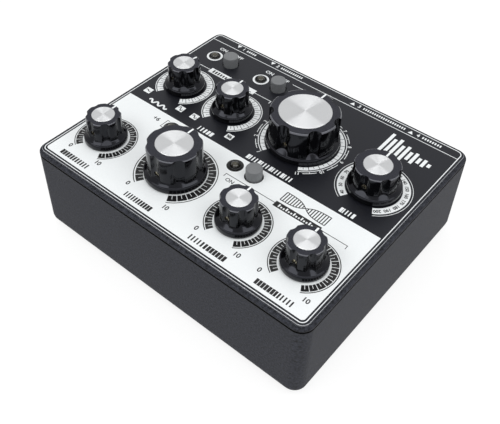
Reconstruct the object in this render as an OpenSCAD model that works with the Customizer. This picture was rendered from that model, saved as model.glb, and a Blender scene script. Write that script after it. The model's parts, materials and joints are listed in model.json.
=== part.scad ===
// Table-top digital echo unit: cast box, printed top plate, eight rotary controls,
// three push buttons, four indicator lamps and a row of sockets at the back.
// Millimetres. X to the right, Y to the back, Z up, origin under the middle on the table.

/* [Box] */
// Outer width of the cast box
box_w = 187.4; // [184:0.2:196]
// Outer depth of the cast box
box_d = 156.9; // [154:0.1:166]
// Height of the body from its base to the lid seam
body_h = 52.7; // [50:0.1:64]
// Wall thickness of the body
wall = 2.5; // [2:0.1:3.2]
// Thickness of the body's floor
floor_t = 2.5; // [2:0.1:3.5]
// Outer radius of the upright corners
corner_r = 7.5; // [6.5:0.25:8.5]
// Rounding along the bottom edge
base_fillet = 5.5; // [4:0.25:6]
// Rounding along the cavity's floor
cavity_fillet = 2; // [1.5:0.25:2.5]
// Open gap between the body's rim and the lid
seam_gap = 0.9; // [0.4:0.05:1.2]
// Width of the box's back left at each end of the rear panel
panel_side = 10; // [9:0.5:12]
// Height of the box's back left under the rear panel
panel_lip = 7; // [6:0.25:8]

/* [Lid and top plate] */
// Thickness of the lid at its rim
lid_rim_t = 1.5; // [1.2:0.1:2.4]
// Thickness of the lid inside its rim
lid_t = 3; // [2.6:0.1:4]
// Rounding along the lid's top edge
lid_edge = 0.9; // [0.4:0.1:1.1]
// Gap between the lid's step and the body's wall
lid_fit = 0.4; // [0.2:0.05:0.8]
// Width of the lid left bare around the top plate
ledge_w = 2.05; // [1.5:0.05:3]
// Thickness of the printed top plate
plate_t = 1.5; // [1:0.1:2]
// Corner radius of the top plate
plate_r = 4.75; // [3:0.25:6]
// Bevel along the top plate's edge
plate_bevel = 0.3; // [0.1:0.05:0.5]

/* [Feet] */
// Height of the rubber feet
foot_h = 3; // [2:0.5:6]
// Diameter of the rubber feet
foot_d = 13; // [9:0.5:16]
// Distance of the feet from the sides of the box
foot_inset = 17; // [14:0.5:30]
// Rounding along a foot's lower edge
foot_round = 1; // [0.5:0.1:1.5]

/* [Small knobs] */
// Skirt diameter
small_skirt_d = 24.4; // [23:0.2:27]
// Diameter over the lobes
small_body_d = 19.6; // [18.6:0.2:21]
// Height of the top above the plate
small_h = 17.3; // [16.2:0.1:20]
// Diameter of the metal inlay
small_inlay_d = 12.8; // [11:0.2:14]
// Depth of the flutes
small_flute = 1.1; // [0.6:0.1:1.2]
// Radius of the flutes
small_flute_r = 3.5; // [3:0.1:4]

/* [Tempo knob] */
// Skirt diameter
tempo_skirt_d = 29.6; // [28:0.2:32]
// Diameter over the lobes
tempo_body_d = 25; // [23:0.2:26]
// Height of the top above the plate
tempo_h = 16.7; // [16.2:0.1:20]
// Diameter of the metal inlay
tempo_inlay_d = 15.5; // [13:0.5:18]
// Depth of the flutes
tempo_flute = 1.1; // [0.8:0.1:1.6]
// Radius of the flutes
tempo_flute_r = 4.5; // [4:0.1:5]

/* [Volume knob] */
// Skirt diameter
volume_skirt_d = 34.6; // [32:0.2:38]
// Diameter over the lobes
volume_body_d = 30.2; // [28:0.2:31.2]
// Height of the top above the plate
volume_h = 21.2; // [18:0.1:24]
// Diameter of the metal inlay
volume_inlay_d = 20.3; // [17:0.1:22]
// Depth of the flutes
volume_flute = 1.1; // [0.7:0.1:1.6]
// Radius of the flutes
volume_flute_r = 6.5; // [5.4:0.1:7.4]

/* [Multiply knob] */
// Skirt diameter
multiply_skirt_d = 42.2; // [41.4:0.2:44]
// Diameter over the lobes
multiply_body_d = 39.8; // [37:0.2:40.6]
// Height of the top above the plate
multiply_h = 22; // [18:0.1:25]
// Diameter of the metal inlay
multiply_inlay_d = 29.6; // [26:0.2:31]
// Depth of the flutes
multiply_flute = 2.7; // [1.8:0.1:2.9]
// Radius of the flutes
multiply_flute_r = 4.3; // [3.8:0.1:5.2]

/* [All knobs] */
// Number of flutes, with a lobe under the pointer
flutes = 7; // [5:2:9]
// Gap between the skirt and the top plate
knob_lift = 0.6; // [0.5:0.1:1.2]
// Height of the skirt's upright rim
skirt_rim = 3.3; // [2.6:0.1:3.8]
// Rise of the skirt's sloping top
skirt_rise = 2.2; // [1.6:0.1:2.6]
// Rounding along the skirt's rim
rim_round = 0.35; // [0.1:0.05:0.5]
// Rounding along the knob's top edge
top_round = 0.6; // [0.2:0.1:1]
// Thickness of the metal inlay
inlay_t = 0.8; // [0.5:0.1:1]
// Bevel along the inlay's edge
inlay_bevel = 0.2; // [0.1:0.05:0.3]
// How far the inlay stands out of the knob
inlay_proud = 0.1; // [0:0.05:0.3]
// Outer diameter of the brass insert
insert_d = 9; // [8:0.2:10]
// Length of the brass insert
insert_l = 9; // [8:0.2:10]
// Diameter of the set screw
screw_d = 3; // [2.5:0.5:3]
// Height of the set screw above the top plate
screw_z = 9; // [8:0.2:10]
// Depth of the set screw's end below the flute
screw_sunk = 0.5; // [0.2:0.1:1]
// How far the depth knob is turned at rest, in degrees
depth_turn = -12.5; // [-30:0.5:30]

/* [Potentiometers] */
// Shaft diameter
shaft_d = 6; // [5:0.25:6]
// Radial running clearance of the shaft in its bushing
shaft_fit = 0.05; // [0.02:0.01:0.09]
// Outer diameter of the threaded bushing
bushing_d = 9; // [8.5:0.1:9.4]
// Height of the bushing above the top plate
bushing_up = 3.6; // [3.2:0.1:4]
// Diameter of the can
can_d = 16.4; // [14:0.2:17]
// Height of the can
can_h = 8; // [7.5:0.1:10]
// Nut size across its flats
pot_nut_af = 12; // [11:0.1:12.2]
// Nut thickness
pot_nut_t = 2; // [1.5:0.1:2.4]
// Washer thickness
pot_washer_t = 0.5; // [0.3:0.1:0.7]

/* [Buttons] */
// Diameter of a button cap
cap_d = 9.3; // [8:0.1:9.8]
// Height of a cap above the top plate
cap_up = 6.75; // [5:0.05:8]
// Rounding along a cap's top edge
cap_round = 0.6; // [0.2:0.1:1]
// Length of a cap below the top plate's face
cap_sunk = 1.2; // [0.8:0.1:1.5]
// Rise of a cap's crowned top
cap_crown = 0.3; // [0.1:0.05:0.5]
// Radial gap between a cap and its hole
cap_gap = 0.65; // [0.4:0.05:0.8]
// Travel of a button
cap_travel = 2; // [1:0.1:2.2]
// Diameter of a button's stem
stem_d = 4; // [3:0.2:5]
// Length of stem held in the switch at rest
stem_in = 3; // [2:0.1:3]
// Side of the square switch housing
switch_w = 9; // [7.5:0.5:11]

/* [Lamps] */
// Diameter of a lens
lens_d = 5.8; // [5:0.1:6.2]
// Height of a lens above the top plate
lens_up = 2.2; // [1.4:0.1:2.5]
// Diameter of a bezel's flange
bezel_d = 7.5; // [7.3:0.1:8.4]
// Height of a bezel's flange
bezel_t = 0.7; // [0.4:0.1:1]
// Wall thickness of a bezel's barrel
bezel_wall = 0.45; // [0.3:0.05:0.5]
// Length of a lens below the lid
lens_tail = 1.5; // [1:0.1:3]
// Distance between a lamp's leads
lead_pitch = 2.54; // [2:0.02:3]
// Diameter of a lamp's leads
lead_d = 0.6; // [0.5:0.1:0.8]

/* [Knob places] */
// Front row, distance from the top plate's front edge
front_row_in = 30.1; // [28:0.1:32]
// Feedback knob, distance right of the middle
feedback_x = -69.2; // [-72:0.1:-66]
// High pass knob, distance right of the middle
high_pass_x = 28; // [26:0.1:31]
// Low pass knob, distance right of the middle
low_pass_x = 69.3; // [66:0.1:71]
// Volume knob, distance right of the middle
volume_x = -20.3; // [-23:0.1:-18]
// Volume knob, distance from the top plate's front edge
volume_in = 35.4; // [33:0.1:37]
// Back row, distance from the top plate's back edge
back_row_in = 58.1; // [56:0.1:60]
// Depth knob, distance right of the middle
depth_x = -69.1; // [-71:0.1:-67]
// Rate knob, distance right of the middle
rate_x = -31.2; // [-34:0.1:-29]
// Multiply knob, distance right of the middle
multiply_x = 16; // [13:0.1:18]
// Multiply knob, distance from the top plate's back edge
multiply_in = 52.1; // [50:0.1:54]
// Tempo knob, distance right of the middle
tempo_x = 66.6; // [64:0.1:69]
// Tempo knob, distance from the top plate's back edge
tempo_in = 56.9; // [54:0.1:59]

/* [Button and lamp places] */
// Back buttons and lamps, distance from the top plate's back edge
button_row_in = 22.5; // [20:0.1:24]
// Left button, distance right of the middle
left_button_x = -62.6; // [-65:0.1:-61]
// Centre button, distance right of the middle
centre_button_x = -24.5; // [-27:0.1:-22]
// Front button, distance right of the middle
front_button_x = 13.5; // [11:0.1:15]
// Front button and lamps, distance from the top plate's front edge
mid_row_in = 60.4; // [58:0.1:62]
// Distance of a back lamp to the left of its button
lamp_left = 13.5; // [12:0.1:14]
// Clip lamp, distance right of the middle
clip_lamp_x = -47.8; // [-50:0.1:-45]
// Front lamp, distance right of the middle
front_lamp_x = 0.3; // [-1:0.1:2]

/* [Sockets] */
// Inner socket pair, distance from the middle
jack_inner_x = 32.5; // [30:0.5:35]
// Distance of the outer jacks from the sides of the box
jack_in = 28.2; // [27:0.1:30]
// Bore of a jack socket
jack_bore_d = 6.5; // [6.4:0.05:6.7]
// Outer diameter of a jack's threaded nose
jack_nose_d = 9.4; // [9:0.1:10]
// Width of a jack's housing
jack_w = 15; // [14:0.5:16]
// Height of a jack's housing
jack_h = 12.4; // [12:0.2:14]
// Length of a jack's housing
jack_l = 20; // [16:0.5:24]
// Size of a jack's nut across its flats
jack_nut_af = 13; // [12:0.2:14]
// Thickness of a jack's nut
jack_nut_t = 2.5; // [2:0.1:3]
// Thickness of a jack's washer
jack_washer_t = 0.6; // [0.4:0.1:0.8]
// Width of the washer seen round a jack's nut
jack_washer_lip = 0.8; // [0.4:0.1:1.2]
// Thread left free beyond a jack's nut
jack_thread_free = 1; // [0.5:0.1:2]
// Bore of the power inlet
inlet_bore_d = 5.7; // [5.5:0.05:6]
// Centre pin of the power inlet
inlet_pin_d = 2.1; // [2:0.1:2.5]
// Depth of the power inlet's bore
inlet_deep = 10; // [9:0.1:11]
// Width and height of the power inlet's housing
inlet_w = 11; // [10:0.2:12]
// Width of the shoulder round the power inlet's nose
inlet_shoulder = 1; // [0.6:0.1:1.4]
// Length of the power inlet's housing
inlet_l = 14; // [12:0.5:16]

/* [Boards] */
// Thickness of the circuit boards
board_t = 1.6; // [1.2:0.1:2]
// Width of the control board
control_w = 160; // [157:0.5:161]
// Depth of the control board
control_d = 124; // [122:0.5:128]
// Width of the main board
main_w = 150; // [148:0.5:156]
// Depth of the main board
main_d = 126; // [120:0.5:130]
// Height of the posts under the main board
post_h = 12; // [10:0.1:13]
// Diameter of the posts under the main board
post_d = 6.4; // [6:0.1:7.5]
// Distance of the posts from the main board's edges
post_edge = 8; // [6:0.5:10]
// Width of the ribbon cable
ribbon_w = 25; // [20:0.5:30]
// Thickness of the ribbon cable
ribbon_t = 0.9; // [0.7:0.1:1.2]
// Bend radius in the middle of the ribbon cable
ribbon_bend = 3; // [2:0.25:4]
// Sideways step of the ribbon cable between its plugs
ribbon_step = 20; // [14:0.5:26]
// Middle of the ribbon cable, distance behind the middle of the box
ribbon_y = -10; // [-14:0.5:-6]
// Length of a ribbon plug past each edge of the cable
plug_side = 2; // [1:0.5:3]
// Height of a ribbon plug
plug_h = 6; // [5:0.2:7]
// Thickness of a ribbon plug
plug_t = 5; // [4:0.2:6]

/* [Screws] */
// Diameter of the lid and board screws
bolt_d = 3; // [2.5:0.1:3.2]
// Head diameter of the screws
bolt_head_d = 5.6; // [5:0.1:6]
// Head height of the screws
bolt_head_h = 1.7; // [1.4:0.1:1.9]
// Length of the lid screws under the head
lid_bolt_l = 12; // [9:0.5:16]
// Length of the board screws under the head
board_bolt_l = 8; // [6:0.5:10]
// Diameter of the corner bosses
boss_d = 10.4; // [9.6:0.2:11]
// Distance of the corner bosses from the sides of the box
boss_inset = 7.5; // [7.5:0.1:8]

/* [Hidden] */
$fn = 64;
hull_fn = 32;
// Length of a cut past the face that it opens
cut = 0.5;
// Gap between pieces that are fixed to each other
seat_gap = 0.03;
// Gap round a screw or a thread in its hole
hole_gap = 0.15;
// Gap between a knob's recess and the nut and bushing inside it
recess_gap = 0.5;
// Gap at the lower end of a shaft or stem
end_gap = 0.4;
// Floor of a housing under its shaft or stem
housing_floor = 1.2;
// Gap between the main board and the back wall
board_gap = 1;
// Bevel at a shaft's upper end, and how far it stops short of the insert's top
shaft_bevel = 0.5;
// Width and depth of a set screw's slot
slot_w = 0.6;
slot_deep = 0.8;
// Chips on the main board: place, then width, depth and height
chips = [[[-52, 6], [20, 20, 2]], [[-52, -22], [18, 10, 2]], [[26, 6], [14, 10, 2]]];
// Supply capacitors on the main board
capacitors = 4;
capacitor_at = [26, -18];
capacitor_step = 11;
capacitor_d = 8;
capacitor_h = 11;

base_z = foot_h;
rim_z = base_z + body_h;
lid_z = rim_z + seam_gap + lid_rim_t;
plate_z = lid_z + plate_t;
lid_in_z = lid_z - lid_t;
board_in_z = lid_in_z - can_h;
control_z = board_in_z - board_t;
post_z = base_z + floor_t + post_h;
main_z = post_z + board_t;

jack_reach = jack_washer_t + jack_nut_t + jack_thread_free;
mid_y = -jack_reach / 2;
back_y = mid_y + box_d / 2;
inner_y = back_y - wall;
jack_z = main_z + jack_h / 2;
jack_outer_x = box_w / 2 - jack_in;
post_x = (jack_inner_x + jack_outer_x) / 2;
inlet_z = main_z + inlet_w / 2;
panel_w = box_w - 2 * panel_side;
panel_z = base_z + panel_lip;
plate_w = box_w - 2 * ledge_w;
plate_d = box_d - 2 * ledge_w;
step_w = box_w - 2 * (wall + lid_fit);
step_d = box_d - 2 * (wall + lid_fit);
step_r = max(corner_r - wall - lid_fit, 1);
boss_x = box_w / 2 - boss_inset;
boss_y = box_d / 2 - boss_inset;
main_back_y = inner_y - board_gap;
main_front_y = main_back_y - main_d;

recess_top = bushing_up + recess_gap;
recess_r = pot_nut_af / sqrt(3) + recess_gap;
insert_top = recess_top + insert_l;
shaft_top = insert_top - shaft_bevel;
shaft_end_z = board_in_z + housing_floor + end_gap;
stem_end_z = board_in_z + housing_floor + end_gap + cap_travel;
switch_h = stem_end_z + stem_in - board_in_z;
inlet_nose_r = inlet_w / 2 - inlet_shoulder;
bezel_r = lens_d / 2 + seat_gap + bezel_wall;
lens_end_z = lid_in_z - lens_tail;

small = [small_skirt_d, small_body_d, small_h, small_inlay_d, small_flute, small_flute_r];
medium = [tempo_skirt_d, tempo_body_d, tempo_h, tempo_inlay_d, tempo_flute, tempo_flute_r];
large = [volume_skirt_d, volume_body_d, volume_h, volume_inlay_d, volume_flute, volume_flute_r];
largest = [multiply_skirt_d, multiply_body_d, multiply_h, multiply_inlay_d, multiply_flute,
    multiply_flute_r];

front_y = -plate_d / 2;
rear_y = plate_d / 2;
front_row_y = front_y + front_row_in;
mid_row_y = front_y + mid_row_in;
back_row_y = rear_y - back_row_in;
button_row_y = rear_y - button_row_in;

// Place, turn at rest and size of each rotary control
feedback = [feedback_x, front_row_y, 0, small];
volume = [volume_x, front_y + volume_in, 0, large];
high_pass = [high_pass_x, front_row_y, 0, small];
low_pass = [low_pass_x, front_row_y, 0, small];
depth = [depth_x, back_row_y, depth_turn, small];
rate = [rate_x, back_row_y, 0, small];
multiply = [multiply_x, rear_y - multiply_in, 0, largest];
tempo = [tempo_x, rear_y - tempo_in, 0, medium];
controls = [feedback, volume, high_pass, low_pass, depth, rate, multiply, tempo];

left_button = [left_button_x, button_row_y];
centre_button = [centre_button_x, button_row_y];
front_button = [front_button_x, mid_row_y];
buttons = [left_button, centre_button, front_button];
lamps = [
    [left_button_x - lamp_left, button_row_y],
    [centre_button_x - lamp_left, button_row_y],
    [clip_lamp_x, mid_row_y],
    [front_lamp_x, mid_row_y]
];
jacks = [-jack_outer_x, -jack_inner_x, jack_inner_x, jack_outer_x];

// Quarter circle of points from angle a0 to a1 about a centre
function arc(c, r, a0, a1, n = 4) =
    [for (i = [0 : n]) let (a = a0 + (a1 - a0) * i / n) c + r * [cos(a), sin(a)]];

// Half section of an upright round piece with rounded lower and upper edges
function turned(r, z0, z1, low, high) = concat(
    [[0, z0]],
    low > 0 ? arc([r - low, z0 + low], low, -90, 0) : [[r, z0]],
    high > 0 ? arc([r - high, z1 - high], high, 0, 90) : [[r, z1]],
    [[0, z1]]
);

// Upright block with rounded corners and rounded lower and upper edges
module rounded_block(w, d, r, h, low, high) {
    hull()
        for (x = [-1, 1], y = [-1, 1])
            translate([x * (w / 2 - r), y * (d / 2 - r), 0])
                rotate_extrude($fn = hull_fn) polygon(turned(r, 0, h, low, high));
}

// Flat outline with rounded corners
module rounded_outline(w, d, r) {
    square([w - 2 * r, d], center = true);
    square([w, d - 2 * r], center = true);
    for (x = [-1, 1], y = [-1, 1])
        translate([x * (w / 2 - r), y * (d / 2 - r)]) circle(r);
}

// Children at the four corners of a rectangle
module at_corners(x, y) {
    for (i = [-1, 1], j = [-1, 1])
        translate([i * x, j * y, 0]) children();
}

// Children at a place on the top plate, with its upper face as zero height
module on_plate(p) {
    translate([p[0], mid_y + p[1], plate_z]) children();
}

// Round hole down through the top plate or the lid
module hole(p, r) {
    on_plate(p) translate([0, 0, -plate_t - lid_t - cut])
        cylinder(r = r, h = plate_t + lid_t + 2 * cut);
}

// Holes for every control that passes through the top
module control_holes() {
    for (c = controls)
        hole(c, bushing_d / 2 + hole_gap);
    for (b = buttons)
        hole(b, cap_d / 2 + cap_gap);
    for (l = lamps)
        hole(l, bezel_r + hole_gap);
}

module post_places() {
    for (x = [-1, 1], y = [main_front_y + post_edge, main_back_y - post_edge])
        translate([x * post_x, y, 0]) children();
}

// Children along the axis of a socket in the back wall, with +Z pointing out of the box
module at_socket(x, z) {
    translate([x, back_y, z]) rotate([-90, 0, 0]) children();
}

// Ring on a socket's or bushing's axis
module ring(r_out, r_in, h, sides = 64) {
    difference() {
        cylinder(r = r_out, h = h, $fn = sides);
        translate([0, 0, -cut]) cylinder(r = r_in, h = h + 2 * cut);
    }
}

// Cheese-head screw with its head seat at zero height
module bolt(l) {
    cylinder(d = bolt_head_d, h = bolt_head_h);
    translate([0, 0, -l]) cylinder(d = bolt_d, h = l + cut);
}

module body_shell() {
    color("#4a4a4c") difference() {
        union() {
            difference() {
                translate([0, mid_y, base_z])
                    rounded_block(box_w, box_d, corner_r, body_h, base_fillet, 0);
                translate([0, mid_y, base_z + floor_t])
                    rounded_block(box_w - 2 * wall, box_d - 2 * wall, corner_r - wall,
                        body_h, cavity_fillet, 0);
            }
            translate([0, mid_y, base_z + floor_t / 2]) at_corners(boss_x, boss_y)
                cylinder(d = boss_d, h = lid_in_z - base_z - floor_t / 2);
            translate([0, 0, base_z + floor_t / 2]) post_places()
                cylinder(d = post_d, h = post_z - base_z - floor_t / 2);
        }
        translate([0, mid_y, lid_in_z - lid_bolt_l - cut]) at_corners(boss_x, boss_y)
            cylinder(d = bolt_d + 2 * seat_gap, h = lid_bolt_l + 2 * cut);
        translate([0, 0, post_z - board_bolt_l]) post_places()
            cylinder(d = bolt_d + 2 * seat_gap, h = board_bolt_l + cut);
        translate([-panel_w / 2, inner_y - cut, panel_z]) cube([panel_w, wall + 2 * cut, body_h]);
    }
}

// Flat panel in the back of the box, clamped to the sockets by their nuts
module rear_panel() {
    color("#4a4a4c") difference() {
        translate([hole_gap - panel_w / 2, inner_y, panel_z + seat_gap])
            cube([panel_w - 2 * hole_gap, wall, rim_z - panel_z - seat_gap]);
        for (x = jacks)
            at_socket(x, jack_z) translate([0, 0, -wall - cut])
                cylinder(r = jack_nose_d / 2 + hole_gap, h = wall + 2 * cut);
        at_socket(0, inlet_z) translate([0, 0, -wall - cut])
            cylinder(r = inlet_nose_r + hole_gap, h = wall + 2 * cut);
    }
}

module lid() {
    color("#4a4a4c") difference() {
        union() {
            translate([0, mid_y, lid_z - lid_rim_t])
                rounded_block(box_w, box_d, corner_r, lid_rim_t, 0, lid_edge);
            translate([0, mid_y, lid_in_z])
                linear_extrude(lid_t - lid_rim_t / 2) rounded_outline(step_w, step_d, step_r);
        }
        control_holes();
        translate([0, mid_y, 0]) at_corners(boss_x, boss_y) {
            translate([0, 0, lid_z - bolt_head_h])
                cylinder(r = bolt_head_d / 2 + hole_gap, h = bolt_head_h + cut);
            translate([0, 0, lid_in_z - cut])
                cylinder(r = bolt_d / 2 + hole_gap, h = lid_t + cut);
        }
    }
}

module top_plate() {
    color("#1c1c1d") difference() {
        translate([0, mid_y, lid_z])
            rounded_block(plate_w, plate_d, plate_r, plate_t, 0, plate_bevel);
        control_holes();
    }
}

module lid_screws() {
    color("#8c8c8e") translate([0, mid_y, lid_z - bolt_head_h]) at_corners(boss_x, boss_y)
        bolt(lid_bolt_l);
}

module feet() {
    color("#1a1a1a") translate([0, mid_y, 0])
        at_corners(box_w / 2 - foot_inset, box_d / 2 - foot_inset)
            rotate_extrude() polygon(turned(foot_d / 2, 0, foot_h, foot_round, 0));
}

module main_board() {
    color("#2f6b3c") difference() {
        translate([-main_w / 2, main_front_y, post_z]) cube([main_w, main_d, board_t]);
        translate([0, 0, post_z - cut]) post_places()
            cylinder(r = bolt_d / 2 + hole_gap, h = board_t + 2 * cut);
    }
}

module main_board_screws() {
    color("#8c8c8e") translate([0, 0, main_z]) post_places() bolt(board_bolt_l);
}

// Processor, memory, converter and the row of supply capacitors
module main_board_parts() {
    color("#222224") translate([0, mid_y, main_z]) {
        for (c = chips)
            translate(c[0]) cube(c[1]);
        for (i = [0 : capacitors - 1])
            translate(capacitor_at + [capacitor_step * i, 0]) cylinder(d = capacitor_d, h = capacitor_h);
    }
}

module control_board() {
    color("#2f6b3c") translate([-control_w / 2, mid_y - control_d / 2, control_z])
        cube([control_w, control_d, board_t]);
}

// Flat cable in an S between the two boards, drawn as a side outline and given its width
module ribbon_cable() {
    z0 = main_z + plug_h;
    z1 = control_z - plug_h;
    zm = (z0 + z1) / 2;
    run = ribbon_step / 2 - ribbon_bend;
    color("#9a9a9c") translate([-ribbon_w / 2, mid_y + ribbon_y - ribbon_step / 2, 0])
        rotate([90, 0, 90]) linear_extrude(ribbon_w) {
            translate([-ribbon_t / 2, z0]) square([ribbon_t, zm - ribbon_bend - z0]);
            ribbon_corner(ribbon_bend, zm - ribbon_bend, 90);
            translate([ribbon_bend, zm - ribbon_t / 2]) square([2 * run, ribbon_t]);
            ribbon_corner(2 * run + ribbon_bend, zm + ribbon_bend, 270);
            translate([ribbon_step - ribbon_t / 2, zm + ribbon_bend])
                square([ribbon_t, z1 - zm - ribbon_bend]);
        }
}

// Quarter bend of the flat cable about a centre
module ribbon_corner(y, z, turn) {
    translate([y, z]) rotate(turn) intersection() {
        difference() {
            circle(ribbon_bend + ribbon_t / 2);
            circle(ribbon_bend - ribbon_t / 2);
        }
        square(ribbon_bend + ribbon_t);
    }
}

module ribbon_plugs() {
    color("#2a2a2c") translate([-ribbon_w / 2 - plug_side, mid_y + ribbon_y - plug_t / 2, 0])
        for (end = [[-ribbon_step / 2, main_z], [ribbon_step / 2, control_z - plug_h]])
            translate([0, end[0], end[1]]) cube([ribbon_w + 2 * plug_side, plug_t, plug_h]);
}

module potentiometers() {
    color("#9c9ca0") for (c = controls)
        on_plate(c) difference() {
            union() {
                translate([0, 0, board_in_z - plate_z]) cylinder(d = can_d, h = can_h);
                translate([0, 0, board_in_z - plate_z + can_h / 2])
                    cylinder(d = bushing_d, h = can_h / 2 + lid_t + plate_t + bushing_up);
            }
            translate([0, 0, shaft_end_z - end_gap - plate_z])
                cylinder(r = shaft_d / 2 + shaft_fit, h = plate_z - shaft_end_z + bushing_up + 2 * cut);
        }
}

module pot_washers() {
    color("#b0b0b4") for (c = controls)
        on_plate(c) ring(pot_nut_af / 2, bushing_d / 2 + hole_gap, pot_washer_t);
}

module pot_nuts() {
    color("#b0b0b4") for (c = controls)
        on_plate(c) translate([0, 0, pot_washer_t])
            ring(pot_nut_af / sqrt(3), bushing_d / 2 + hole_gap, pot_nut_t, 6);
}

module switches() {
    color("#202022") for (b = buttons)
        on_plate(b) difference() {
            translate([-switch_w / 2, -switch_w / 2, board_in_z - plate_z])
                cube([switch_w, switch_w, switch_h]);
            translate([0, 0, stem_end_z - cap_travel - end_gap - plate_z])
                cylinder(r = stem_d / 2 + shaft_fit, h = switch_h + cut);
        }
}

// Round cap with a crowned top on the stem that runs in its switch
module push_button(p) {
    r = cap_d / 2;
    color("#757577") on_plate(p) {
        rotate_extrude() polygon(concat(
            [[0, -cap_sunk], [r, -cap_sunk]],
            arc([r - cap_round, cap_up - cap_crown - cap_round], cap_round, 0, 90),
            [[r / 2, cap_up - cap_crown / 4], [0, cap_up]]
        ));
        translate([0, 0, stem_end_z - plate_z])
            cylinder(d = stem_d, h = plate_z - stem_end_z - cap_sunk + cut);
    }
}

module lamp_bezels() {
    color("#161617") for (l = lamps)
        on_plate(l) difference() {
            union() {
                cylinder(d = bezel_d, h = bezel_t);
                translate([0, 0, -plate_t - lid_t]) cylinder(r = bezel_r, h = plate_t + lid_t + bezel_t);
            }
            translate([0, 0, -plate_t - lid_t - cut])
                cylinder(r = lens_d / 2 + seat_gap, h = plate_t + lid_t + bezel_t + 2 * cut);
        }
}

// Domed lamp on its two leads, which stand on the control board
module lamp_lenses() {
    r = lens_d / 2;
    color("#3a3126") for (l = lamps)
        on_plate(l) {
            translate([0, 0, lens_up - r]) intersection() {
                sphere(r);
                cylinder(r = r + cut, h = r + cut);
            }
            translate([0, 0, lens_end_z - plate_z])
                cylinder(r = r, h = plate_z - lens_end_z + lens_up - r);
            for (s = [-1, 1])
                translate([s * lead_pitch / 2, 0, board_in_z - plate_z])
                    cylinder(d = lead_d, h = lens_end_z - board_in_z + cut);
        }
}

// Jack socket: a housing on the main board with its threaded nose through the back wall
module jack(x) {
    color("#1d1d1f") difference() {
        union() {
            translate([x - jack_w / 2, inner_y - jack_l, main_z]) cube([jack_w, jack_l, jack_h]);
            at_socket(x, jack_z) translate([0, 0, -wall - cut])
                cylinder(d = jack_nose_d, h = wall + cut + jack_reach);
        }
        at_socket(x, jack_z) translate([0, 0, -wall - jack_l - cut])
            cylinder(d = jack_bore_d, h = wall + jack_l + jack_reach + 2 * cut);
    }
}

module jack_washers() {
    color("#b0b0b4") for (x = jacks)
        at_socket(x, jack_z)
            ring(jack_nut_af / 2 + jack_washer_lip, jack_nose_d / 2 + hole_gap, jack_washer_t);
}

module jack_nuts() {
    color("#b0b0b4") for (x = jacks)
        at_socket(x, jack_z) translate([0, 0, jack_washer_t])
            ring(jack_nut_af / sqrt(3), jack_nose_d / 2 + hole_gap, jack_nut_t, 6);
}

// Barrel inlet on the main board, its nose flush with the back of the box
module power_inlet() {
    color("#1d1d1f") {
        difference() {
            union() {
                translate([-inlet_w / 2, inner_y - inlet_l, main_z]) cube([inlet_w, inlet_l, inlet_w]);
                at_socket(0, inlet_z) translate([0, 0, -wall - cut])
                    cylinder(r = inlet_nose_r, h = wall + cut);
            }
            at_socket(0, inlet_z) translate([0, 0, -inlet_deep])
                cylinder(d = inlet_bore_d, h = inlet_deep + cut);
        }
        at_socket(0, inlet_z) translate([0, 0, -inlet_deep - cut])
            cylinder(d = inlet_pin_d, h = inlet_deep);
    }
}

// Children at a rotary control, turned as it stands at rest
module at_control(c) {
    on_plate(c) rotate(c[2]) children();
}

// Radial set screw axis, pointing out of the flute opposite the pointer
module screw_axis() {
    translate([0, 0, screw_z]) rotate([90, 0, 0]) children();
}

// Skirted, fluted knob: the skirt is a turned cone that runs on under the flutes
module knob(c) {
    s = c[3];
    skirt_r = s[0] / 2;
    body_r = s[1] / 2;
    valley_r = body_r - s[4];
    rim_z1 = knob_lift + skirt_rim;
    color("#141415") at_control(c) difference() {
        union() {
            rotate_extrude() polygon(concat(
                [[0, knob_lift]],
                arc([skirt_r - rim_round, knob_lift + rim_round], rim_round, -90, 0),
                arc([skirt_r - rim_round, rim_z1 - rim_round], rim_round, 0, 60),
                [[valley_r, rim_z1 + skirt_rise], [0, rim_z1 + skirt_rise]]
            ));
            intersection() {
                translate([0, 0, knob_lift]) linear_extrude(s[2] - knob_lift) difference() {
                    circle(body_r);
                    for (i = [0 : flutes - 1])
                        rotate(-90 + 360 * i / flutes) translate([valley_r + s[5], 0]) circle(s[5]);
                }
                rotate_extrude() polygon(turned(body_r, knob_lift, s[2], 0, top_round));
            }
        }
        translate([0, 0, knob_lift - cut]) cylinder(r = recess_r, h = recess_top - knob_lift + cut);
        translate([0, 0, knob_lift])
            cylinder(r = insert_d / 2 + seat_gap, h = insert_top + seat_gap - knob_lift);
        translate([0, 0, s[2] + inlay_proud - inlay_t])
            cylinder(r = s[3] / 2 + seat_gap, h = inlay_t + cut);
        screw_axis() cylinder(r = screw_d / 2 + seat_gap, h = skirt_r);
    }
}

// Turned metal disc in the top of a knob, with a small bevel
module inlay(c) {
    s = c[3];
    top = s[2] + inlay_proud;
    color("#d4d5d8") at_control(c)
        rotate_extrude() polygon(turned(s[3] / 2, top - inlay_t, top, 0, inlay_bevel));
}

// Brass insert of a knob with its slotted set screw
module insert(c) {
    s = c[3];
    screw_r0 = shaft_d / 2 + seat_gap;
    screw_r1 = s[1] / 2 - s[4] - screw_sunk;
    color("#b5924a") at_control(c) {
        difference() {
            translate([0, 0, recess_top]) cylinder(d = insert_d, h = insert_l);
            translate([0, 0, recess_top - cut])
                cylinder(r = shaft_d / 2 + seat_gap, h = insert_l + 2 * cut);
            screw_axis() cylinder(r = screw_d / 2 + seat_gap, h = insert_d);
        }
        screw_axis() difference() {
            translate([0, 0, screw_r0]) cylinder(d = screw_d, h = screw_r1 - screw_r0);
            translate([-slot_w / 2, -screw_d, screw_r1 - slot_deep])
                cube([slot_w, 2 * screw_d, slot_deep + cut]);
        }
    }
}

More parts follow.
